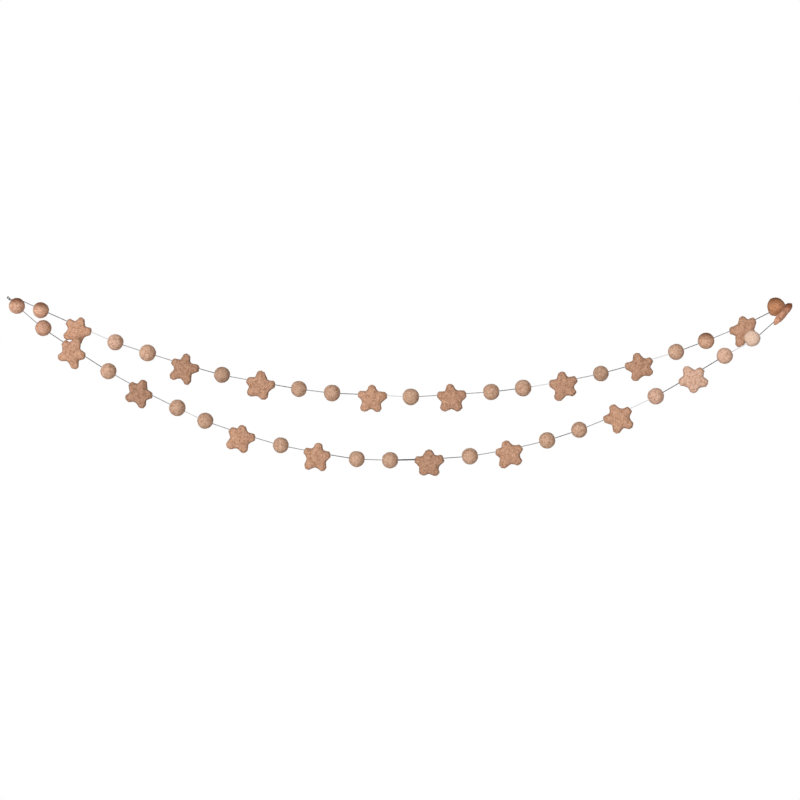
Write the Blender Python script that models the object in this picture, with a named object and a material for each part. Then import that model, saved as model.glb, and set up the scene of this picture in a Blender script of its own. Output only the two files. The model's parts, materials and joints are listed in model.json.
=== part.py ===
"""A garland of felt balls and puffy felt stars, threaded on one thin twisted cord and hung as a double swag.

Metres, +Z up, +X to the right along the swag and +Y towards the wall. The origin is the point where
both ends of the cord hang. The cord leaves it through the lower run, turns round a second hanging point
at the right and comes back through the upper run, which lies a little behind the lower one.
"""

import math
from collections import namedtuple

import bmesh
import bpy
from mathutils import Matrix, Vector, noise

MM = 0.001
UP = Vector((0, 0, 1))
TOWARDS_VIEWER = Vector((0, -1, 0))

# Cord: a thin twine, which slides in a hole a little wider than itself through every piece
CORD_RADIUS = 0.6 * MM
HOLE_RADIUS = 1.0 * MM
TOUCH_GAP = 0.3 * MM
HOLE_SIDES = 8

# Depth of each run, at its left and right ends
UPPER_DEPTH = (9 * MM, 13 * MM)
LOWER_DEPTH = (-5 * MM, -8 * MM)

# Left end: both ends of the cord are tied in one knot, with a small eye beyond it at the origin
EYE_RADIUS = 1.2 * MM
EYE_LEG_SPREAD = 0.75 * MM
EYE_BEND_STEPS = 8
KNOT = Vector((2.9, 0, -3.1)) * MM
KNOT_RADIUS = 1.6 * MM

# The upper end of the cord lies over the back of the first lower ball, on its way to the knot
OVER_FIRST_BALL = ((23.0, 5.6, -5.8), (16.6, 4.9, -3.4), (7.4, 3.6, -3.1))

# Right end: the cord turns over a round hanging point, from front to back
TURN_CENTRE = (1221, -11.4)
TURN_RADIUS = 2.5 * MM
TURN_FROM = math.radians(-41)
TURN_TO = math.radians(112)
TURN_DEPTH = (1.5 * MM, 8.5 * MM)
TURN_STEPS = 7

# Felt ball
BALL_SIDES = 12
BALL_RINGS = 9
BALL_UNEVEN = 0.022
BALL_LUMP = 9 * MM

# Felt star, in the star's own plane: the cord runs through both side arms, above the middle
CORD_ABOVE_MIDDLE = 7.5 * MM
SIDE_ARM_LIFT = 22.5
TOP_ARM = 90
LOW_LEFT_ARM = 234
LOW_RIGHT_ARM = 306
ARM_TIP_RADIUS = 6.3 * MM
ARM_ROOT_HALF_WIDTH = 12.6 * MM
ARM_BLEND = 12
ARM_VIEW = math.radians(80)
POINTS_PER_ARM = 6
STAR_HALF_THICK = 5.3 * MM
# How far out from the middle each ring of the star lies, and how high it stands above the mid plane
STAR_RINGS = ((0.86, 0.62), (0.54, 0.93))
CUTTER_REACH = 34 * MM

# Felt tones
TONES = {
    "sand": (0.571, 0.367, 0.262),
    "blush": (0.680, 0.440, 0.330),
    "cream": (0.790, 0.578, 0.456),
    "clay": (0.503, 0.287, 0.188),
    "umber": (0.485, 0.235, 0.124),
    "twine": (0.400, 0.400, 0.410),
}

# A ball: where the cord passes its middle, x and z in mm, its size across in mm, its felt tone, and how
# far its middle sits above the cord in mm
Ball = namedtuple("Ball", "x z across tone rise", defaults=("sand", 0))

# A star: where the cord passes it, x and z in mm, the reach of its five arms from the middle in mm, how
# far three of them lean anticlockwise in degrees, how thick its arms are, how far it is rolled about
# the cord in degrees, and its felt tone
Star = namedtuple(
    "Star",
    "x z top left low_left low_right right top_lean low_left_lean low_right_lean girth roll tone",
    defaults=("clay",),
)

# Both runs in the order in which the pieces hang, from the left end to the right
UPPER_RUN = (
    Ball(50.3, -18.5, 25, "blush", -1.7),
    Star(110.5, -45.5, 23, 24, 24.5, 20.5, 23, 6, -5, -6, 1.00, 5),
    Ball(166.5, -70, 24.8, "blush"),
    Ball(217, -86.5, 26),
    Star(276.5, -105, 25, 24, 25.5, 25.5, 24, 8, -5, -5, 0.90, -4),
    Ball(333.5, -121, 25),
    Star(395, -132.5, 26, 24, 22.5, 20.5, 23, 7, -12, -7, 1.06, 4),
    Ball(454, -143, 25),
    Ball(506, -149.5, 26),
    Star(569.5, -152, 23, 24, 23.5, 21.5, 24, 5, -4, -4, 1.00, -5),
    Ball(629.5, -155.5, 26),
    Star(694, -151.5, 24, 24, 23.5, 21.5, 23, 7, -9, -8, 1.04, 3),
    Ball(755.5, -147.5, 25.5),
    Ball(805.5, -141.5, 26),
    Star(868, -131, 23, 23, 25.5, 21.5, 23, -1, 3, 3, 1.03, -4),
    Ball(927.5, -119, 24.5),
    Star(988, -102, 24, 25, 23.5, 20.5, 22, 3, -9, 9, 0.98, 5),
    Ball(1045.5, -85, 25),
    Ball(1092.5, -67.5, 25.5),
    Star(1150, -44, 22.5, 25, 29, 22.5, 24.5, -13, -11, -3, 1.00, -3),
    Ball(1204, -17, 28.5, "umber", 6),
)
LOWER_RUN = (
    Ball(14.5, -13, 25, "blush"),
    Ball(55.6, -48.5, 25, "blush"),
    Star(104.5, -81.4, 28, 23.5, 22.5, 25, 22.5, 12, 0, 12, 0.97, -5),
    Ball(157.5, -115.5, 25),
    Star(209, -144.5, 24, 23, 22.5, 22.5, 22, 6, -6, 7, 0.98, 4),
    Ball(265, -172.5, 25.5),
    Ball(308.5, -193, 25),
    Star(366.5, -213, 21, 23, 25.5, 23.5, 23, 9, -3, -5, 1.08, -3),
    Ball(426.5, -231, 24.5),
    Star(484, -242.5, 23, 23, 24.5, 23.5, 22, 2, 1, 3, 1.02, 5),
    Ball(545, -252.5, 25),
    Ball(597, -254, 25.5),
    Star(658.5, -252.5, 23, 24, 21.5, 20.5, 23, 2, -6, -6, 1.08, -4),
    Ball(721.5, -248, 25.5),
    Star(782, -237.5, 22, 22, 24.5, 22.5, 22, 6, -5, -1, 1.03, 4),
    Ball(842, -223.5, 25.5),
    Ball(892, -207, 25),
    Star(952, -182.5, 25, 25, 23.5, 23.5, 23, 8, -1, -5, 1.05, -5),
    Ball(1011.5, -154.5, 25.5, "blush"),
    Star(1066.6, -122.8, 25, 24, 20.5, 23, 23, 3, 6, 10, 1.04, 4, "blush"),
    Ball(1118.5, -91, 25, "blush"),
    Ball(1163.5, -67, 25, "cream", 4.2),
    Star(1208.8, -26.6, 19, 24, 22, 22, 23.2, 0, 0, 0, 0.90, -96, "blush"),
)


def clear_scene():
    for old in list(bpy.data.objects):
        bpy.data.objects.remove(old, do_unlink=True)


def finish(name, tone):
    """A rough Principled material of one tone."""
    material = bpy.data.materials.get(name) or bpy.data.materials.new(name)
    material.use_nodes = True
    shader = material.node_tree.nodes["Principled BSDF"]
    shader.inputs["Base Color"].default_value = (*TONES[tone], 1)
    shader.inputs["Roughness"].default_value = 0.95
    shader.inputs["Metallic"].default_value = 0.0
    return material


def add_piece(name, bm, material):
    """Turn a bmesh into a named, smooth-shaded object."""
    bmesh.ops.recalc_face_normals(bm, faces=bm.faces)
    mesh = bpy.data.meshes.new(name)
    bm.to_mesh(mesh)
    bm.free()
    mesh.shade_smooth()
    mesh.set_sharp_from_angle(angle=math.radians(60))
    mesh.materials.append(material)
    piece = bpy.data.objects.new(name, mesh)
    bpy.context.collection.objects.link(piece)
    return piece


def hide_helper(piece):
    piece.hide_render = True
    piece.display_type = "WIRE"


def combine(piece, helper, operation):
    step = piece.modifiers.new(operation.title(), "BOOLEAN")
    step.operation = operation
    step.solver = "EXACT"
    step.object = helper
    hide_helper(helper)


def ring(bm, centre, along, upward, radius, sides):
    """A ring of points round the direction along, starting on the side that faces upward."""
    across = along.cross(upward).normalized()
    top = across.cross(along).normalized()
    points = []
    for k in range(sides):
        turn = math.tau * k / sides
        points.append(bm.verts.new(centre + radius * (math.cos(turn) * top + math.sin(turn) * across)))
    return points


def skin(bm, first, second):
    """Faces between two rings of equal count."""
    count = len(first)
    for k in range(count):
        after = (k + 1) % count
        bm.faces.new((first[k], first[after], second[after], second[k]))


def tube(points, upward, radius, sides):
    """A closed round rod through a few points."""
    bm = bmesh.new()
    rings = []
    last = len(points) - 1
    for k, point in enumerate(points):
        along = (points[min(k + 1, last)] - points[max(k - 1, 0)]).normalized()
        rings.append(ring(bm, point, along, upward, radius, sides))
    for k in range(last):
        skin(bm, rings[k], rings[k + 1])
    bm.faces.new(rings[0])
    bm.faces.new(rings[-1])
    return bm


def felt_ball(name, ball, here, before, after, seed):
    """A solid ball, wound from rings along the cord, whose hole follows the cord's slight bend."""
    radius = ball.across * MM / 2
    coming = (here - before).normalized()
    going = (after - here).normalized()
    axis = (coming + going).normalized()
    mouth = math.asin(HOLE_RADIUS / radius)
    lump_seed = Vector((seed * 7.3, seed * 3.1, seed * 5.7))
    bm = bmesh.new()
    rings = []
    for k in range(BALL_RINGS):
        polar = mouth + (math.pi - 2 * mouth) * k / (BALL_RINGS - 1)
        along = -radius * math.cos(polar)
        rise = ball.rise * MM * (math.sin(polar) - math.sin(mouth))
        centre = here + along * (coming if along < 0 else going) + rise * UP
        points = ring(bm, centre, axis, UP, radius * math.sin(polar), BALL_SIDES)
        if 0 < k < BALL_RINGS - 1:
            for point in points:
                lump = noise.noise((point.co - here) / BALL_LUMP + lump_seed)
                point.co = here + (point.co - here) * (1 + BALL_UNEVEN * lump)
        rings.append(points)
    rings.append(ring(bm, here, axis, UP, HOLE_RADIUS, BALL_SIDES))
    for k in range(len(rings)):
        skin(bm, rings[k], rings[(k + 1) % len(rings)])
    return add_piece(name, bm, finish("felt_" + ball.tone, ball.tone))


def arm_reach(off, reach, girth):
    """How far one tapered, round-ended arm reaches in a direction that lies off its middle line."""
    tip = ARM_TIP_RADIUS * girth
    straight = reach - tip
    taper = (ARM_ROOT_HALF_WIDTH * girth - tip) / straight
    side = ARM_ROOT_HALF_WIDTH * girth / (math.tan(off) + taper)
    if side < straight:
        return side / math.cos(off)
    return straight * math.cos(off) + math.sqrt(tip**2 - (straight * math.sin(off)) ** 2)


def star_outline(star):
    """Points round the star as (angle, reach), from the right arm on, with the valleys rounded."""
    arms = (
        (math.radians(SIDE_ARM_LIFT), star.right * MM),
        (math.radians(TOP_ARM + star.top_lean), star.top * MM),
        (math.radians(180 - SIDE_ARM_LIFT), star.left * MM),
        (math.radians(LOW_LEFT_ARM + star.low_left_lean), star.low_left * MM),
        (math.radians(LOW_RIGHT_ARM + star.low_right_lean), star.low_right * MM),
    )
    outline = []
    for k, (start, _) in enumerate(arms):
        end = arms[(k + 1) % len(arms)][0]
        gap = (end - start) % math.tau
        for step in range(POINTS_PER_ARM):
            angle = start + gap * step / POINTS_PER_ARM
            total = 0
            for direction, reach in arms:
                off = abs((angle - direction + math.pi) % math.tau - math.pi)
                if off < ARM_VIEW:
                    total += arm_reach(off, reach, star.girth) ** ARM_BLEND
            outline.append((angle, total ** (1 / ARM_BLEND)))
    return outline


def felt_star(name, star, here, before, after):
    """A solid star, thick in the middle and round at its edges, with a hole through its side arms."""
    coming = (here - before).normalized()
    going = (after - here).normalized()
    along = (coming + going).normalized()
    roll = Matrix.Rotation(math.radians(star.roll), 3, along)
    facing = roll @ (TOWARDS_VIEWER - along * TOWARDS_VIEWER.dot(along)).normalized()
    top = facing.cross(along)
    middle = here - CORD_ABOVE_MIDDLE * top
    outline = star_outline(star)
    bm = bmesh.new()

    def level(scale, height):
        points = []
        for angle, reach in outline:
            flat = math.cos(angle) * along + math.sin(angle) * top
            points.append(bm.verts.new(middle + scale * reach * flat + height * facing))
        return points

    edge = level(1, 0)
    for side in (-1, 1):
        rings = [edge]
        for scale, height in STAR_RINGS:
            rings.append(level(scale, side * height * STAR_HALF_THICK))
        for outer, inner in zip(rings, rings[1:]):
            skin(bm, outer, inner)
        crown = bm.verts.new(middle + side * STAR_HALF_THICK * facing)
        for k, point in enumerate(rings[-1]):
            bm.faces.new((point, rings[-1][(k + 1) % len(outline)], crown))
    piece = add_piece(name, bm, finish("felt_" + star.tone, star.tone))

    hole = tube(
        (here - CUTTER_REACH * coming, here, here + CUTTER_REACH * going), facing, HOLE_RADIUS, HOLE_SIDES
    )
    combine(piece, add_piece(name + "_hole", hole, finish("felt_" + star.tone, star.tone)), "DIFFERENCE")
    return piece


def end_eye(eye):
    """Both ends of the cord, tied in a round knot, with a narrow eye bent back on itself beyond it."""
    out = (KNOT - eye).normalized()
    side = out.cross(TOWARDS_VIEWER).normalized()
    points = [KNOT + EYE_LEG_SPREAD * side]
    for k in range(EYE_BEND_STEPS + 1):
        turn = math.pi / 2 + math.pi * k / EYE_BEND_STEPS
        points.append(eye + EYE_RADIUS * (math.cos(turn) * out + math.sin(turn) * side))
    points.append(KNOT - EYE_LEG_SPREAD * side)
    twine = finish("twine", "twine")
    piece = add_piece("end_eye", tube(points, TOWARDS_VIEWER, CORD_RADIUS, HOLE_SIDES), twine)
    bm = bmesh.new()
    bmesh.ops.create_icosphere(bm, subdivisions=2, radius=KNOT_RADIUS, matrix=Matrix.Translation(KNOT))
    combine(piece, add_piece("end_knot", bm, twine), "UNION")


def from_knot(towards):
    """Where the plain cord starts, just clear of the knot."""
    return KNOT + (KNOT_RADIUS + TOUCH_GAP) * (towards - KNOT).normalized()


def run_points(run, depth):
    """Where the cord passes each piece of a run, from its left end to its right."""
    left, right = depth
    span = run[-1].x - run[0].x
    points = []
    for row in run:
        share = (row.x - run[0].x) / span
        points.append(Vector((row.x * MM, left + (right - left) * share, row.z * MM)))
    return points


def right_turn():
    """The cord's turn over the right hanging point, from the lower run to the upper one."""
    points = []
    for k in range(TURN_STEPS):
        share = k / (TURN_STEPS - 1)
        turn = TURN_FROM + (TURN_TO - TURN_FROM) * share
        x = TURN_CENTRE[0] * MM + TURN_RADIUS * math.cos(turn)
        z = TURN_CENTRE[1] * MM + TURN_RADIUS * math.sin(turn)
        y = TURN_DEPTH[0] + (TURN_DEPTH[1] - TURN_DEPTH[0]) * share
        points.append(Vector((x, y, z)))
    return points


def cord(route):
    curve = bpy.data.curves.new("cord", "CURVE")
    curve.dimensions = "3D"
    curve.bevel_depth = CORD_RADIUS
    curve.bevel_resolution = 2
    curve.use_fill_caps = True
    spline = curve.splines.new("POLY")
    spline.points.add(len(route) - 1)
    for point, place in zip(spline.points, route):
        point.co = (*place, 1)
    curve.materials.append(finish("twine", "twine"))
    piece = bpy.data.objects.new("cord", curve)
    bpy.context.collection.objects.link(piece)


def thread(run, points, first, last, prefix):
    """The pieces of one run, on the cord that comes from first and goes on to last."""
    route = [first, *points, last]
    counts = {"ball": 0, "star": 0}
    for k, row in enumerate(run):
        kind = "ball" if isinstance(row, Ball) else "star"
        counts[kind] += 1
        name = f"{prefix}_{kind}_{counts[kind]:02d}"
        before, here, after = route[k : k + 3]
        if kind == "ball":
            felt_ball(name, row, here, before, after, k + len(run))
        else:
            felt_star(name, row, here, before, after)


clear_scene()

lower = run_points(LOWER_RUN, LOWER_DEPTH)
upper = run_points(UPPER_RUN, UPPER_DEPTH)
turn = right_turn()
over_ball = [Vector(point) * MM for point in OVER_FIRST_BALL]
lower_start = from_knot(lower[0])
upper_end = from_knot(over_ball[-1])

thread(LOWER_RUN, lower, lower_start, turn[0], "lower")
thread(UPPER_RUN, upper, over_ball[0], turn[-1], "upper")
cord([lower_start, *lower, *turn, *reversed(upper), *over_ball, upper_end])
end_eye(Vector((0, 0, 0)))
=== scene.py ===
import json
import math
from collections import namedtuple

import bpy
import numpy as np
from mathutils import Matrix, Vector, noise


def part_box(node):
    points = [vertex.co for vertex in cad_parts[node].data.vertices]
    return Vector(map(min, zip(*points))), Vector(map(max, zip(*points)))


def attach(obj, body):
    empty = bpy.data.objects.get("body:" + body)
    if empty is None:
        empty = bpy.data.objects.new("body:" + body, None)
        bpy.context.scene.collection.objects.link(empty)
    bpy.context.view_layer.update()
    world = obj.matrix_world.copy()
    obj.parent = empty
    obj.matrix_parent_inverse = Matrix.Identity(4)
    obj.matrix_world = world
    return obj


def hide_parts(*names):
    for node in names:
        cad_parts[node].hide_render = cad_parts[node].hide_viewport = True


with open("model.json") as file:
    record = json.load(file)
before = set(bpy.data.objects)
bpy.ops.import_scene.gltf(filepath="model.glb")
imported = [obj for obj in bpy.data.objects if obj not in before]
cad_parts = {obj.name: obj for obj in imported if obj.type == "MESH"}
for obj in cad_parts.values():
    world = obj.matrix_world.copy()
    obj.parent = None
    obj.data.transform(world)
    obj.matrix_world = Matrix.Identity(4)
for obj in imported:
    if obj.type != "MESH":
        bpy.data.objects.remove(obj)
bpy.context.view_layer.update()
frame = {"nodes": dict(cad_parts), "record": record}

# Camera
# The garland is seen straight on with a long lens, from in front of its middle and a little below its
# hanging points. One pixel of the picture covers the same length all along the swag.
MM = 0.001
PIXEL = 1.5625 * MM
PICTURE_WIDTH = 800
LEFT_HANG_PIXEL = (8, 297.5)
LENS = 100
SENSOR = 36

camera_data = bpy.data.cameras.new("camera")
camera_data.lens = LENS
camera_data.sensor_width = SENSOR
camera_data.clip_end = 50
camera = bpy.data.objects.new("camera", camera_data)
camera.location = (
    (PICTURE_WIDTH / 2 - LEFT_HANG_PIXEL[0]) * PIXEL,
    -PICTURE_WIDTH * PIXEL * LENS / SENSOR,
    (LEFT_HANG_PIXEL[1] - PICTURE_WIDTH / 2) * PIXEL,
)
camera.rotation_euler = (math.radians(90), 0, 0)
bpy.context.collection.objects.link(camera)
bpy.context.scene.camera = camera
bpy.context.scene.view_settings.view_transform = "Standard"

# Twine
# One thin grey twine of two twisted plies. It runs from the knot out through the lower pieces, turns over
# the right hanging point and comes back through the upper pieces to the same knot. Its plies lie looser,
# and so look thicker, in one stretch near the middle of the lower run.
Stop = namedtuple("Stop", "piece x z shade browned twine warmth reach", defaults=(0, "grey", 1.0, 1.0))

# Where the twine passes each piece, in mm, how light that piece is beside others of its tone (partly the
# felt's own tone, partly painted light where a piece stood in brighter or dimmer light), how much painted
# shade darkens its top, the tone of the twine from there to the next piece on the right, how much warmer
# than others of its tone the felt is, and how far a star's side arms reach beside its solid's
LOWER_STOPS = (
    Stop("lower_ball_01", 14.5, -13, 1.20, 1.0, warmth=1.2),
    Stop("lower_ball_02", 55.6, -48.5, 1.06, 0.4, "dark", 1.2),
    Stop("lower_star_01", 104.5, -81.4, 1.16, twine="dark"),
    Stop("lower_ball_03", 157.5, -115.5, 1.12),
    Stop("lower_star_02", 209, -144.5, 0.86),
    Stop("lower_ball_04", 265, -172.5, 1.00, twine="pale"),
    Stop("lower_ball_05", 308.5, -193, 1.00),
    Stop("lower_star_03", 366.5, -213, 1.05, reach=1.02),
    Stop("lower_ball_06", 426.5, -231, 1.00),
    Stop("lower_star_04", 484, -242.5, 1.05, twine="dark", reach=1.03),
    Stop("lower_ball_07", 545, -252.5, 1.00),
    Stop("lower_ball_08", 597, -254, 1.00, twine="loose"),
    Stop("lower_star_05", 658.5, -252.5, 0.89, twine="dark", reach=1.06),
    Stop("lower_ball_09", 721.5, -248, 1.00),
    Stop("lower_star_06", 782, -237.5, 1.02, reach=1.05),
    Stop("lower_ball_10", 842, -223.5, 1.00, twine="dark"),
    Stop("lower_ball_11", 892, -207, 1.00),
    Stop("lower_star_07", 952, -182.5, 1.04, twine="pale", reach=1.05),
    Stop("lower_ball_12", 1011.5, -154.5, 0.98, twine="black"),
    Stop("lower_star_08", 1066.6, -122.8, 1.00, twine="black", reach=1.03),
    Stop("lower_ball_13", 1118.5, -91, 1.05, twine="pale"),
    Stop("lower_ball_14", 1163.5, -67, 1.05, twine="dark"),
    Stop("lower_star_09", 1208.8, -26.6, 1.20, 1.0, "black", 1.5, 0.89),
)
UPPER_STOPS = (
    Stop("upper_ball_01", 50.3, -18.5, 1.18, 0.85, "dark", 1.2),
    Stop("upper_star_01", 110.5, -45.5, 1.20, twine="pale", reach=0.98),
    Stop("upper_ball_02", 166.5, -70, 1.03),
    Stop("upper_ball_03", 217, -86.5, 1.14),
    Stop("upper_star_02", 276.5, -105, 0.92, twine="dark", reach=1.03),
    Stop("upper_ball_04", 333.5, -121, 0.88),
    Stop("upper_star_03", 395, -132.5, 1.00, twine="dark", reach=1.06),
    Stop("upper_ball_05", 454, -143, 1.00),
    Stop("upper_ball_06", 506, -149.5, 1.00, twine="dark"),
    Stop("upper_star_04", 569.5, -152, 1.05, twine="pale", reach=1.05),
    Stop("upper_ball_07", 629.5, -155.5, 1.00),
    Stop("upper_star_05", 694, -151.5, 0.96, reach=1.08),
    Stop("upper_ball_08", 755.5, -147.5, 1.00, twine="dark"),
    Stop("upper_ball_09", 805.5, -141.5, 1.00, twine="pale"),
    Stop("upper_star_06", 868, -131, 0.94, reach=1.06),
    Stop("upper_ball_10", 927.5, -119, 0.88, twine="dark"),
    Stop("upper_star_07", 988, -102, 0.95, twine="pale", reach=1.04),
    Stop("upper_ball_11", 1045.5, -85, 1.03, twine="dark"),
    Stop("upper_ball_12", 1092.5, -67.5, 1.16, 0.85, warmth=1.1),
    Stop("upper_star_08", 1150, -44, 0.98, twine="black"),
    Stop("upper_ball_13", 1204, -17, 1.10, 0.7, "black"),
)
LOWER_DEPTH = (-5, -8)
UPPER_DEPTH = (9, 13)
KNOT = Vector((2.9, 0, -3.1)) * MM
KNOT_RADIUS = 1.6 * MM
KNOT_GAP = 0.3 * MM
OVER_FIRST_BALL = ((23.0, 5.6, -5.8), (16.6, 4.9, -3.4), (7.4, 3.6, -3.1))
TURN_CENTRE = (1221, -11.4)
TURN_RADIUS = 2.5
TURN_FROM = math.radians(-41)
TURN_TO = math.radians(112)
TURN_DEPTH = (1.5, 8.5)
TURN_STEPS = 25

PLY_RADIUS = 0.47 * MM
PLY_OFFSET = 0.30 * MM
PLY_PITCH = 3.9 * MM
PLY_STEP = 0.5 * MM
PLY_SIDES = 6
PLY_WANDER = ((0.5, 41 * MM), (0.4, 17 * MM))
PLY_UNEVEN = (0.08, 2.3 * MM)
SOFT_END_STEPS = 3
SOFT_END = (0.55, 0.95)
TWINE_TONES = {"pale": 0.0, "grey": 0.4, "dark": 0.77, "black": 1.0, "loose": 0.88}
LOOSE_FULLER = 1.6
LOOSENING_STEPS = 9


def run_points(stops, depth):
    """Where the twine passes each piece of a run."""
    left, right = depth
    span = stops[-1].x - stops[0].x
    points = []
    for stop in stops:
        deep = left + (right - left) * (stop.x - stops[0].x) / span
        points.append(Vector((stop.x, deep, stop.z)) * MM)
    return points


def turn_points():
    """The turn over the right hanging point, from the lower run in front to the upper one behind."""
    points = []
    for k in range(TURN_STEPS):
        share = k / (TURN_STEPS - 1)
        turn = TURN_FROM + (TURN_TO - TURN_FROM) * share
        x = TURN_CENTRE[0] + TURN_RADIUS * math.cos(turn)
        z = TURN_CENTRE[1] + TURN_RADIUS * math.sin(turn)
        points.append(Vector((x, TURN_DEPTH[0] + (TURN_DEPTH[1] - TURN_DEPTH[0]) * share, z)) * MM)
    return points


def clear_of_knot(towards):
    return KNOT + (KNOT_RADIUS + KNOT_GAP) * (towards - KNOT).normalized()


def even_points(route, step):
    """Points at even steps along a route, as an array."""
    corners = np.array([tuple(point) for point in route])
    lengths = np.linalg.norm(np.diff(corners, axis=0), axis=1)
    travelled = np.concatenate([[0], np.cumsum(lengths)])
    places = np.linspace(0, travelled[-1], int(travelled[-1] / step) + 1)
    return np.stack([np.interp(places, travelled, corners[:, k]) for k in range(3)], axis=1)


def along_twine(route, values, count):
    """The value at evenly spaced points of the twine, from one value for each stretch of its route."""
    corners = np.array([tuple(point) for point in route])
    lengths = np.linalg.norm(np.diff(corners, axis=0), axis=1)
    travelled = np.cumsum(lengths)
    stretches = np.searchsorted(travelled[:-1], np.linspace(0, travelled[-1], count))
    return np.array(values)[stretches]


def side_directions(line):
    """The direction along a line at each point, and two steady directions across it."""
    off_the_line = (0.31, 0.77, 0.56)
    along = np.gradient(line, axis=0)
    along /= np.linalg.norm(along, axis=1)[:, None]
    across = np.zeros_like(line)
    first = np.cross(along[0], off_the_line)
    across[0] = first / np.linalg.norm(first)
    for k in range(1, len(line)):
        carried = across[k - 1] - along[k] * np.dot(across[k - 1], along[k])
        across[k] = carried / np.linalg.norm(carried)
    return along, across, np.cross(along, across)


def closed_rod(line, across, other, radii, sides, first_vert):
    """The points and faces of one closed rod along a line, as thick as its radii say."""
    turns = np.arange(sides) * math.tau / sides
    around = across[:, None, :] * np.cos(turns)[None, :, None]
    around = around + other[:, None, :] * np.sin(turns)[None, :, None]
    verts = (line[:, None, :] + around * np.asarray(radii)[:, None, None]).reshape(-1, 3)
    count = len(line)
    ring = np.arange(count - 1)[:, None] * sides + first_vert
    here = np.arange(sides)[None, :]
    after = (here + 1) % sides
    quads = np.stack([ring + here, ring + after, ring + sides + after, ring + sides + here], axis=2)
    faces = quads.reshape(-1, 4).tolist()
    faces.append(list(range(first_vert, first_vert + sides))[::-1])
    faces.append([first_vert + (count - 1) * sides + k for k in range(sides)])
    return verts, faces


def twist(line, fullness=1.0):
    """Two plies wound round a line of evenly spaced points, thicker where the fullness is above one."""
    fullness = np.broadcast_to(fullness, len(line))
    _, across, other = side_directions(line)
    steps = np.linalg.norm(np.diff(line, axis=0), axis=1)
    travelled = np.concatenate([[0], np.cumsum(steps)])
    wander = sum(turned * np.sin(travelled / length) for turned, length in PLY_WANDER)
    uneven, uneven_length = PLY_UNEVEN
    verts, faces, first = [], [], 0
    for ply in (0, 1):
        turn = math.tau * travelled / PLY_PITCH + wander + math.pi * ply
        out = across * np.cos(turn)[:, None] + other * np.sin(turn)[:, None]
        radii = PLY_RADIUS * fullness * (1 + uneven * np.sin(travelled / uneven_length + 2 * ply))
        radii[:SOFT_END_STEPS] *= np.linspace(*SOFT_END, SOFT_END_STEPS)
        radii[-SOFT_END_STEPS:] *= np.linspace(*SOFT_END[::-1], SOFT_END_STEPS)
        centre = line + PLY_OFFSET * fullness[:, None] * out
        _, ply_across, ply_other = side_directions(centre)
        more, quads = closed_rod(centre, ply_across, ply_other, radii, PLY_SIDES, first)
        verts.append(more)
        faces += quads
        first += len(more)
    return np.concatenate(verts), faces


def smooth_piece(name, verts, faces, materials):
    """A smooth-shaded mesh piece which hangs with the garland."""
    mesh = bpy.data.meshes.new(name)
    mesh.from_pydata([tuple(v) for v in verts], [], faces)
    mesh.validate()
    mesh.shade_smooth()
    for material in materials:
        mesh.materials.append(material)
    piece = bpy.data.objects.new(name, mesh)
    bpy.context.collection.objects.link(piece)
    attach(piece, "root")
    return piece


def noise_texture(nodes, links, place, size, detail, distortion=0.0):
    """Noise whose patches are about the given size, in metres."""
    texture = nodes.new("ShaderNodeTexNoise")
    texture.inputs["Scale"].default_value = 1 / size
    texture.inputs["Detail"].default_value = detail
    texture.inputs["Roughness"].default_value = 0.6
    texture.inputs["Distortion"].default_value = distortion
    links.new(place.outputs["Object"], texture.inputs["Vector"])
    return texture


def ramp(nodes, links, factor, stops):
    """A colour ramp through (position, colour) stops."""
    node = nodes.new("ShaderNodeValToRGB")
    elements = node.color_ramp.elements
    while len(elements) < len(stops):
        elements.new(0.5)
    for element, (position, colour) in zip(elements, stops):
        element.position = position
        element.color = (*colour, 1)
    links.new(factor, node.inputs["Fac"])
    return node


def socket(sockets, identifier):
    return next(each for each in sockets if each.identifier == identifier)


def bump(nodes, links, height, depth, strength, before=None):
    node = nodes.new("ShaderNodeBump")
    node.inputs["Distance"].default_value = depth
    node.inputs["Strength"].default_value = strength
    links.new(height, node.inputs["Height"])
    if before:
        links.new(before.outputs["Normal"], node.inputs["Normal"])
    return node


def twine_finish(name, stops):
    """Grey twine, as dark as its darkness attribute says, with its filaments as fine relief."""
    material = bpy.data.materials.new(name)
    material.use_nodes = True
    nodes, links = material.node_tree.nodes, material.node_tree.links
    shader = nodes["Principled BSDF"]
    shader.inputs["Roughness"].default_value = 0.8
    shader.inputs["Specular IOR Level"].default_value = 0.25
    place = nodes.new("ShaderNodeTexCoord")
    stretches = nodes.new("ShaderNodeAttribute")
    stretches.attribute_name = "darkness"
    filaments = noise_texture(nodes, links, place, 0.5 * MM, 4, 1.0)
    mixed = nodes.new("ShaderNodeMix")
    mixed.inputs["Factor"].default_value = 0.25
    links.new(stretches.outputs["Fac"], mixed.inputs["A"])
    links.new(filaments.outputs["Fac"], mixed.inputs["B"])
    colour = ramp(nodes, links, mixed.outputs["Result"], stops)
    links.new(colour.outputs["Color"], shader.inputs["Base Color"])
    relief = bump(nodes, links, filaments.outputs["Fac"], 0.1 * MM, 0.6)
    links.new(relief.outputs["Normal"], shader.inputs["Normal"])
    return material


lower_line = run_points(LOWER_STOPS, LOWER_DEPTH)
upper_line = run_points(UPPER_STOPS, UPPER_DEPTH)
turn_line = turn_points()
over_ball = [Vector(point) * MM for point in OVER_FIRST_BALL]
twine_start = clear_of_knot(lower_line[0])
twine_end = clear_of_knot(over_ball[-1])
twine_route = [twine_start, *lower_line, *turn_line, *reversed(upper_line), *over_ball, twine_end]

twine_tones = [
    "dark",
    *[stop.twine for stop in LOWER_STOPS],
    *["black"] * (TURN_STEPS - 1),
    *[stop.twine for stop in reversed(UPPER_STOPS)],
    "grey",
    *["dark"] * len(over_ball),
]

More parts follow.
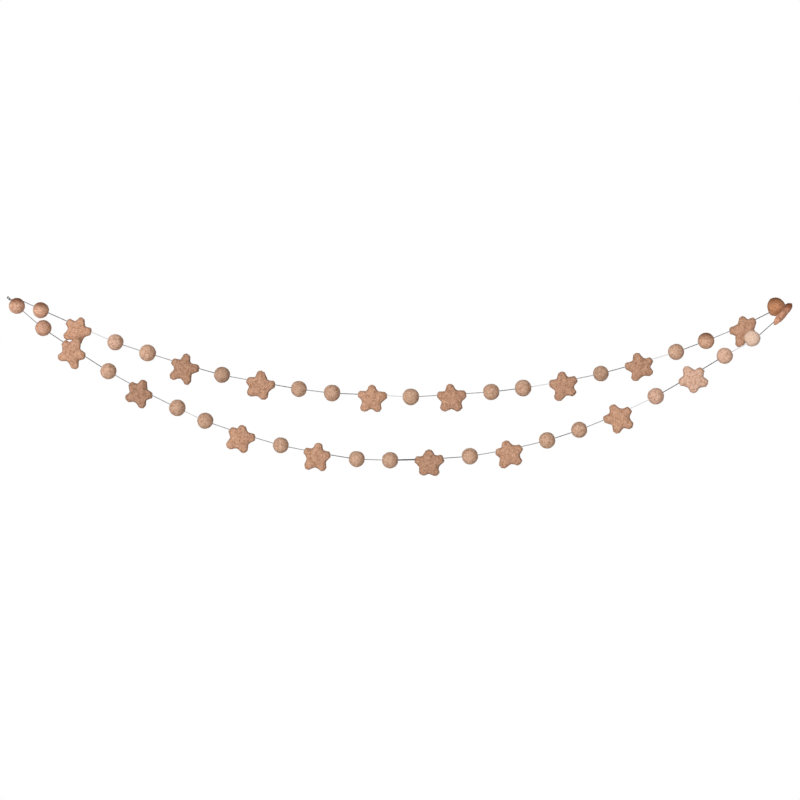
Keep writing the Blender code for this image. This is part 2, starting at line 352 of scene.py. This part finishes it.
twine_material = twine_finish("twine", (
    (0.10, (0.75, 0.75, 0.77)),
    (0.42, (0.33, 0.33, 0.34)),
    (0.70, (0.13, 0.13, 0.14)),
    (0.88, (0.015, 0.015, 0.018)),
))
twine_line = even_points(twine_route, PLY_STEP)
loosened = [LOOSE_FULLER if tone == "loose" else 1.0 for tone in twine_tones]
fullness = along_twine(twine_route, loosened, len(twine_line))
fullness = np.pad(fullness, LOOSENING_STEPS // 2, mode="edge")
fullness = np.convolve(fullness, np.ones(LOOSENING_STEPS) / LOOSENING_STEPS, mode="valid")
twine = smooth_piece("long_twine", *twist(twine_line, fullness), [twine_material])
darkness = twine.data.attributes.new("darkness", "FLOAT", "POINT")
tone_at_point = along_twine(twine_route, [TWINE_TONES[tone] for tone in twine_tones], len(twine_line))
darkness.data.foreach_set("value", np.tile(np.repeat(tone_at_point, PLY_SIDES), 2))
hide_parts("cord")

# Eye and knot
# The two ends of the twine are tied together in one overhand knot, and a small eye of the same twine
# stands out beyond it, both much darker than the rest of the twine. The eye is what hangs on the left
# hook.
EYE_RADIUS = 1.2 * MM
EYE_LEG_SPREAD = 0.75 * MM
EYE_STEPS = 16
KNOT_LOOPS = 0.42 * MM
KNOT_DEEP = 1.3
KNOT_TURN = 0.985
KNOT_STEPS = 90
EYE_PLY_STEP = 0.3 * MM


def eye_route():
    """Out from the knot, round the origin and back."""
    out = KNOT.normalized()
    side = out.cross(Vector((0, -1, 0))).normalized()
    points = [KNOT + EYE_LEG_SPREAD * side]
    for k in range(EYE_STEPS + 1):
        turn = math.pi / 2 + math.pi * k / EYE_STEPS
        points.append(EYE_RADIUS * (math.cos(turn) * out + math.sin(turn) * side))
    points.append(KNOT - EYE_LEG_SPREAD * side)
    return points


def knot_route():
    """An overhand knot pulled tight round the two ends."""
    out = KNOT.normalized()
    side = out.cross(Vector((0, -1, 0))).normalized()
    facing = side.cross(out)
    points = []
    for k in range(KNOT_STEPS):
        t = math.tau * k / (KNOT_STEPS - 1) * KNOT_TURN
        x = math.sin(t) + 2 * math.sin(2 * t)
        y = math.cos(t) - 2 * math.cos(2 * t)
        z = -KNOT_DEEP * math.sin(3 * t)
        points.append(KNOT + KNOT_LOOPS * (x * facing + y * side + z * out))
    return points


eye_verts, eye_faces = twist(even_points(eye_route(), EYE_PLY_STEP))
knot_verts, knot_faces = twist(even_points(knot_route(), EYE_PLY_STEP))
knot_faces = [[v + len(eye_verts) for v in face] for face in knot_faces]
knot_material = twine_finish("knotted_twine", (
    (0.05, (0.02, 0.018, 0.018)),
    (0.20, (0.14, 0.13, 0.13)),
))
both_verts = np.concatenate([eye_verts, knot_verts])
eye = smooth_piece("eye_and_knot", both_verts, eye_faces + knot_faces, [knot_material])
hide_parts("end_eye")

# Felt balls
# Each is wool roving rolled wet into a firm ball about 25 mm across, then pierced for the twine. Its
# surface is matted, a little uneven, and drawn in round the two places where the twine goes in.
BALL_SIDES = 44
BALL_RINGS = 34
BALL_MOUTH = 0.8 * MM
BALL_FULLER = 1.010
DIMPLE_DEPTH = 1.1 * MM
DIMPLE_ACROSS = 2.2 * MM
LUMPS = ((9 * MM, 0.022), (3.0 * MM, 0.020))
LUMP_SHIFT = (3.7, 1.9, 5.3)
FIBRES_ON_BALL = 320
FIBRE_LENGTH = (0.9 * MM, 3.4 * MM)
FIBRE_LIFT = (0.05, 0.42)
FIBRE_CURL = (-0.5, 0.5)
FIBRE_ARCH = 2.2
FIBRE_TAPER = (1, 0.5)
FIBRE_ROOT = 0.1 * MM
FIBRE_RADIUS = 0.04 * MM
FIBRE_SIDES = 3
FIBRE_POINTS = 4
CLEAR_OF_TWINE = 1.7 * MM
TWINE_STEP_NEAR_FELT = 1.0 * MM
NEARBY = 40 * MM
CLUMP_SIZE = 4.2 * MM
MATTED_FIBRE_SIZE = 1.6 * MM
PIT_SIZE = 0.5 * MM
FIBRES_OVER_CLUMPS = 0.66
CREAM_MOTTLING = 0.45
PALE_GAIN = 0.26
PALE_LIFT = 0.02
PALEST = 0.95
DARK_LOSS = np.array((0.46, 0.60, 0.70))
# Painted shade: the dark brown that painted shade multiplies the felt towards, and the share of a piece's
# height, from bottom to top, over which it rises to full at the top.
PAINTED_SHADE_COLOUR = (0.30, 0.19, 0.12)
TOP_SHADE_FROM = (0.53, 0.90)
FELT_TONES = {
    "felt_sand": (0.582, 0.375, 0.266),
    "felt_blush": (0.680, 0.440, 0.330),
    "felt_cream": (0.790, 0.578, 0.456),
    "felt_clay": (0.525, 0.305, 0.202),
    "felt_umber": (0.485, 0.235, 0.124),
}

slots = {row["node"]: row["material_slot"] for row in frame["record"]["subparts"]}
felt_finishes = {}


def felt_finish(slot, shade, warmth):
    """Matted wool felt: soft clumps, finer crossing fibres and small pits, with hardly any gloss."""
    key = (slot, shade, warmth)
    if key in felt_finishes:
        return felt_finishes[key]
    # The shade is partly the felt's own tone and partly painted light: pieces that stood in brighter or
    # dimmer light are made lighter or darker.
    base = np.array(FELT_TONES[slot]) ** warmth * shade
    mottling = CREAM_MOTTLING if slot == "felt_cream" else 1.0
    pale = np.minimum(base * (1 + PALE_GAIN * mottling) + PALE_LIFT, PALEST)
    dark = base * (1 - mottling * DARK_LOSS)
    material = bpy.data.materials.new(f"{slot}_{round(shade * 100)}_{round(warmth * 100)}")
    material.use_nodes = True
    nodes, links = material.node_tree.nodes, material.node_tree.links
    shader = nodes["Principled BSDF"]
    shader.inputs["Roughness"].default_value = 0.95
    shader.inputs["Specular IOR Level"].default_value = 0.1
    shader.inputs["Sheen Weight"].default_value = 0.03
    shader.inputs["Sheen Roughness"].default_value = 0.6
    shader.inputs["Sheen Tint"].default_value = (1.0, 0.86, 0.76, 1)
    place = nodes.new("ShaderNodeTexCoord")
    clumps = noise_texture(nodes, links, place, CLUMP_SIZE, 3)
    fibres = noise_texture(nodes, links, place, MATTED_FIBRE_SIZE, 6, 1.6)
    pits = noise_texture(nodes, links, place, PIT_SIZE, 4, 0.5)
    coarse = nodes.new("ShaderNodeMix")
    coarse.inputs["Factor"].default_value = FIBRES_OVER_CLUMPS
    links.new(clumps.outputs["Fac"], coarse.inputs["A"])
    links.new(fibres.outputs["Fac"], coarse.inputs["B"])
    colour = ramp(nodes, links, coarse.outputs["Result"], (
        (0.39, dark),
        (0.49, base),
        (0.59, pale),
    ))
    # Painted shade: the felt's colour is multiplied towards dark brown as far as the painted-shade
    # attribute says.
    browned = nodes.new("ShaderNodeAttribute")
    browned.attribute_name = "browned"
    painted_shading = nodes.new("ShaderNodeMix")
    painted_shading.data_type = "RGBA"
    painted_shading.blend_type = "MULTIPLY"
    socket(painted_shading.inputs, "B_Color").default_value = (*PAINTED_SHADE_COLOUR, 1)
    links.new(browned.outputs["Fac"], socket(painted_shading.inputs, "Factor_Float"))
    links.new(colour.outputs["Color"], socket(painted_shading.inputs, "A_Color"))
    links.new(socket(painted_shading.outputs, "Result_Color"), shader.inputs["Base Color"])
    soft = bump(nodes, links, clumps.outputs["Fac"], 1.2 * MM, 0.6)
    matted = bump(nodes, links, fibres.outputs["Fac"], 1.0 * MM, 0.9, soft)
    pitted = bump(nodes, links, pits.outputs["Fac"], 0.2 * MM, 0.6, matted)
    links.new(pitted.outputs["Normal"], shader.inputs["Normal"])
    felt_finishes[key] = material
    return material


def vertex_values(mesh, name):
    """The places or normals of a mesh's vertices, as an array."""
    values = np.zeros(len(mesh.vertices) * 3)
    mesh.vertices.foreach_get(name, values)
    return values.reshape(-1, 3)


def painted_top_shade(mesh, amount):
    """How much painted shade darkens each vertex, rising towards the top of a piece."""
    heights = vertex_values(mesh, "co")[:, 2]
    share = (heights - heights.min()) / (heights.max() - heights.min())
    return amount * np.interp(share, TOP_SHADE_FROM, (0, 1))


def set_painted_shade(mesh, amounts):
    browned = mesh.attributes.new("browned", "FLOAT", "POINT")
    browned.data.foreach_set("value", amounts)


def lump_height(point, seed):
    """How far the felt stands out here, as a share."""
    total = 0
    for size, height in LUMPS:
        total += height * noise.noise(point / size + Vector([seed * shift for shift in LUMP_SHIFT]))
    return total


def ball_mesh(middle, radius, here, coming, going, seed):
    """Rings of points from one mouth of the hole to the other, and the hole's wall."""
    axis = (coming + going).normalized()
    across = axis.cross(Vector((0, 0, 1))).normalized()
    top = across.cross(axis)
    rise = middle - here
    rise -= axis * rise.dot(axis)
    mouth = math.asin(BALL_MOUTH / radius)
    verts, faces = [], []
    for k in range(BALL_RINGS):
        polar = mouth + (math.pi - 2 * mouth) * k / (BALL_RINGS - 1)
        along = -radius * math.cos(polar)
        from_hole = radius * math.sin(polar)
        drawn_in = DIMPLE_DEPTH * math.exp(-((from_hole / DIMPLE_ACROSS) ** 2))
        along -= math.copysign(drawn_in, along)
        centre = here + along * (coming if along < 0 else going)
        centre += rise * (math.sin(polar) - math.sin(mouth))
        for s in range(BALL_SIDES):
            turn = math.tau * s / BALL_SIDES
            point = centre + from_hole * (math.cos(turn) * top + math.sin(turn) * across)
            if 0 < k < BALL_RINGS - 1:
                point = middle + (point - middle) * (1 + lump_height(point - middle, seed))
            verts.append(point)
    for s in range(BALL_SIDES):
        turn = math.tau * s / BALL_SIDES
        verts.append(here + BALL_MOUTH * (math.cos(turn) * top + math.sin(turn) * across))
    rings = BALL_RINGS + 1
    for k in range(rings):
        for s in range(BALL_SIDES):
            after = (s + 1) % BALL_SIDES
            first, second = k * BALL_SIDES, (k + 1) % rings * BALL_SIDES
            faces.append((first + s, first + after, second + after, second + s))
    return verts, faces


def stray_fibres(piece, count, twine_points, seed):
    """Thin curved wool fibres that stand off a piece's surface, well clear of the twine."""
    rng = np.random.default_rng(seed)
    mesh = piece.data
    faces = len(mesh.polygons)
    centres = np.zeros(faces * 3)
    normals = np.zeros(faces * 3)
    areas = np.zeros(faces)
    mesh.polygons.foreach_get("center", centres)
    mesh.polygons.foreach_get("normal", normals)
    mesh.polygons.foreach_get("area", areas)
    centres, normals = centres.reshape(-1, 3), normals.reshape(-1, 3)
    near = np.linalg.norm(centres[:, None, :] - twine_points[None, :, :], axis=2).min(axis=1)
    areas[near < CLEAR_OF_TWINE] = 0
    chosen = rng.choice(faces, size=count, p=areas / areas.sum())
    verts, quads = [], []
    for index, face in enumerate(chosen):
        normal = normals[face]
        flat = np.cross(normal, rng.normal(size=3))
        flat /= np.linalg.norm(flat)
        side = np.cross(normal, flat)
        length = rng.uniform(*FIBRE_LENGTH)
        lift = rng.uniform(*FIBRE_LIFT)
        curl = rng.uniform(*FIBRE_CURL)
        share = np.linspace(0, 1, FIBRE_POINTS)[:, None]
        arch = lift * np.sin(share * FIBRE_ARCH) * normal
        path = centres[face] - normal * FIBRE_ROOT
        path = path + length * (share * flat + curl * share**2 * side + arch)
        _, across, other = side_directions(path)
        radii = FIBRE_RADIUS * np.linspace(*FIBRE_TAPER, FIBRE_POINTS)
        first = index * FIBRE_POINTS * FIBRE_SIDES
        more, more_faces = closed_rod(path, across, other, radii, FIBRE_SIDES, first)
        verts.append(more)
        quads += more_faces
    return np.concatenate(verts), quads


def join_fibres(name, parts):
    """One piece of all the fibres of like felt pieces, each in the tone of the felt it comes from."""
    verts, faces, materials, tones, first = [], [], [], [], 0
    for points, quads, material in parts:
        if material not in materials:
            materials.append(material)
        verts.append(points)
        faces += [[v + first for v in face] for face in quads]
        tones += [materials.index(material)] * len(quads)
        first += len(points)
    piece = smooth_piece(name, np.concatenate(verts), faces, materials)
    piece.data.polygons.foreach_set("material_index", tones)
    return piece


def stops_with_neighbours(stops, line, first, last):
    """Each piece of a run, with the twine's places before, at and after it."""
    route = [first, *line, last]
    for k, stop in enumerate(stops):
        yield stop, route[k], route[k + 1], route[k + 2]


threaded = [
    *stops_with_neighbours(LOWER_STOPS, lower_line, twine_start, turn_line[0]),
    *stops_with_neighbours(UPPER_STOPS, upper_line, over_ball[0], turn_line[-1]),
]
coarse_twine = even_points(twine_route, TWINE_STEP_NEAR_FELT)


def twine_near(here):
    return coarse_twine[np.linalg.norm(coarse_twine - np.array(here), axis=1) < NEARBY]


ball_fibres = []
for seed, (stop, before, here, after) in enumerate(threaded):
    if "ball" not in stop.piece:
        continue
    low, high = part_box(stop.piece)
    radius = sum(high - low) / 6 * BALL_FULLER
    coming, going = (here - before).normalized(), (after - here).normalized()
    verts, faces = ball_mesh((low + high) / 2, radius, here, coming, going, seed)
    finish = felt_finish(slots[stop.piece], stop.shade, stop.warmth)
    ball = smooth_piece("felt_" + stop.piece, verts, faces, [finish])
    # Painted shade: some balls are darker towards their top.
    set_painted_shade(ball.data, painted_top_shade(ball.data, stop.browned))
    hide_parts(stop.piece)
    ball_fibres.append((*stray_fibres(ball, FIBRES_ON_BALL, twine_near(here), seed), finish))
join_fibres("ball_fibres", ball_fibres)

# Felt stars
# Each is a thick, soft star of the same wool, needled into shape and rounded at every edge, with painted
# shade darkening the edges of every star but the edge-on one. The twine runs through both side arms, so
# that the star hangs upright below it.
STAR_VOXEL = 0.65 * MM
STAR_SMOOTHING = 4
STAR_FULLER = 0.60 * MM
HELD_NEAR_TWINE = (0.9 * MM, 3.4 * MM)
STAR_LUMPS = ((8 * MM, 0.9 * MM), (2.8 * MM, 0.35 * MM))
STAR_LUMP_SHIFT = (2.3, 4.1, 1.7)
FIBRES_ON_STAR = 440
STAR_FIBRE_SEED = 100
# Painted shade at the stars' edges, strongest where the surface turns away from the star's two faces.
EDGE_SHADE = 0.50
EDGE_NARROWNESS = 1.5
EDGE_ON_STAR = "lower_star_09"
EDGE_ON_HEIGHT = 1.08


def painted_edge_shade(mesh):
    """How much painted shade darkens each vertex, rising from the star's two faces to its edge."""
    places = vertex_values(mesh, "co")
    _, _, axes = np.linalg.svd(places - places.mean(axis=0), full_matrices=False)
    facing = np.abs(vertex_values(mesh, "normal") @ axes[2])
    return EDGE_SHADE * (1 - np.clip(facing, 0, 1)) ** EDGE_NARROWNESS


def star_piece(stop, twine_points, seed):
    """The plain solid of a star, made soft: remeshed finely, smoothed, stretched, filled out, made uneven.

    The felt is drawn in where the twine passes. The star that hangs edge-on is a little longer and slimmer
    than its solid, and gets no painted shade at its edge.
    """
    source = frame["nodes"][stop.piece]
    work = bpy.data.objects.new("star_in_work", source.data.copy())
    bpy.context.collection.objects.link(work)
    finer = work.modifiers.new("Finer", "REMESH")
    finer.mode = "VOXEL"
    finer.voxel_size = STAR_VOXEL
    softer = work.modifiers.new("Softer", "SMOOTH")
    softer.factor = 0.5
    softer.iterations = STAR_SMOOTHING
    seen = work.evaluated_get(bpy.context.evaluated_depsgraph_get())
    mesh = bpy.data.meshes.new_from_object(seen)
    bpy.data.objects.remove(work)
    mesh.name = "felt_" + stop.piece
    mesh.materials.clear()
    mesh.materials.append(felt_finish(slots[stop.piece], stop.shade, stop.warmth))
    offset = Vector([seed * shift for shift in STAR_LUMP_SHIFT])
    places = vertex_values(mesh, "co")
    middle = places.mean(axis=0)
    height = EDGE_ON_HEIGHT if stop.piece == EDGE_ON_STAR else 1.0
    places = middle + (places - middle) * (stop.reach, 1.0, height)
    mesh.vertices.foreach_set("co", places.ravel())
    mesh.update()
    near = np.linalg.norm(places[:, None, :] - twine_points[None, :, :], axis=2).min(axis=1)
    free = np.interp(near, HELD_NEAR_TWINE, (0, 1))
    moved = []
    for vert, share in zip(mesh.vertices, free):
        out = STAR_FULLER
        for size, height in STAR_LUMPS:
            out += height * noise.noise(vert.co / size + offset)
        moved.append(vert.co + vert.normal * out * share)
    for vert, place in zip(mesh.vertices, moved):
        vert.co = place
    mesh.update()
    # Painted shade: some stars are darker towards their top, and every star but the edge-on one is darker
    # at its edges.
    browned = painted_top_shade(mesh, stop.browned)
    if stop.piece != EDGE_ON_STAR:
        browned = np.maximum(browned, painted_edge_shade(mesh))
    set_painted_shade(mesh, browned)
    mesh.shade_smooth()
    star = bpy.data.objects.new("felt_" + stop.piece, mesh)
    bpy.context.collection.objects.link(star)
    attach(star, "root")
    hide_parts(stop.piece)
    return star


star_fibres = []
for seed, (stop, before, here, after) in enumerate(threaded):
    if "star" not in stop.piece:
        continue
    close = twine_near(here)
    star = star_piece(stop, close, seed)
    finish = felt_finish(slots[stop.piece], stop.shade, stop.warmth)
    star_fibres.append((*stray_fibres(star, FIBRES_ON_STAR, close, STAR_FIBRE_SEED + seed), finish))
join_fibres("star_fibres", star_fibres)

# Light and floor
# A plain studio: one broad soft light in front, from the left and a little above, a weaker one behind, an
# even dim fill from all round, a white background, and a pale floor well below the garland.
FILL = 0.31
KEY = 0.81 * math.pi
KEY_FROM = Vector((-0.38, -0.91, 0.14))
KEY_SOFTNESS = math.radians(50)
BACK = 0.42 * math.pi
BACK_FROM = Vector((0.15, 0.95, 0.22))
BACK_SOFTNESS = math.radians(25)
FLOOR_HEIGHT = -0.85
FLOOR_X = (-0.9, 2.1)
FLOOR_Y = (-1.5, 0.35)
FLOOR_COLOUR = (0.90, 0.90, 0.89)
FILL_COLOUR = (1, 0.93, 0.86)

world = bpy.data.worlds.new("studio")
bpy.context.scene.world = world
world.use_nodes = True
air = world.node_tree.nodes
wires = world.node_tree.links
fill = air["Background"]
fill.inputs["Color"].default_value = (*FILL_COLOUR, 1)
fill.inputs["Strength"].default_value = FILL
white = air.new("ShaderNodeBackground")
white.inputs["Color"].default_value = (1, 1, 1, 1)
white.inputs["Strength"].default_value = 1.0
seen_directly = air.new("ShaderNodeLightPath")
either = air.new("ShaderNodeMixShader")
wires.new(seen_directly.outputs["Is Camera Ray"], either.inputs[0])
wires.new(fill.outputs["Background"], either.inputs[1])
wires.new(white.outputs["Background"], either.inputs[2])
wires.new(either.outputs["Shader"], air["World Output"].inputs["Surface"])


def sun(name, strength, source, softness):
    data = bpy.data.lights.new(name, "SUN")
    data.energy = strength
    data.angle = softness
    lamp = bpy.data.objects.new(name, data)
    lamp.rotation_euler = source.to_track_quat("Z", "Y").to_euler()
    bpy.context.collection.objects.link(lamp)


sun("key", KEY, KEY_FROM, KEY_SOFTNESS)
sun("back", BACK, BACK_FROM, BACK_SOFTNESS)

floor_mesh = bpy.data.meshes.new("floor")
floor_mesh.from_pydata(
    [
        (FLOOR_X[0], FLOOR_Y[0], FLOOR_HEIGHT),
        (FLOOR_X[1], FLOOR_Y[0], FLOOR_HEIGHT),
        (FLOOR_X[1], FLOOR_Y[1], FLOOR_HEIGHT),
        (FLOOR_X[0], FLOOR_Y[1], FLOOR_HEIGHT),
    ],
    [],
    [(0, 1, 2, 3)],
)
floor_finish = bpy.data.materials.new("floor")
floor_finish.use_nodes = True
floor_shader = floor_finish.node_tree.nodes["Principled BSDF"]
floor_shader.inputs["Base Color"].default_value = (*FLOOR_COLOUR, 1)
floor_shader.inputs["Roughness"].default_value = 0.9
floor_mesh.materials.append(floor_finish)
floor = bpy.data.objects.new("floor", floor_mesh)
bpy.context.collection.objects.link(floor)
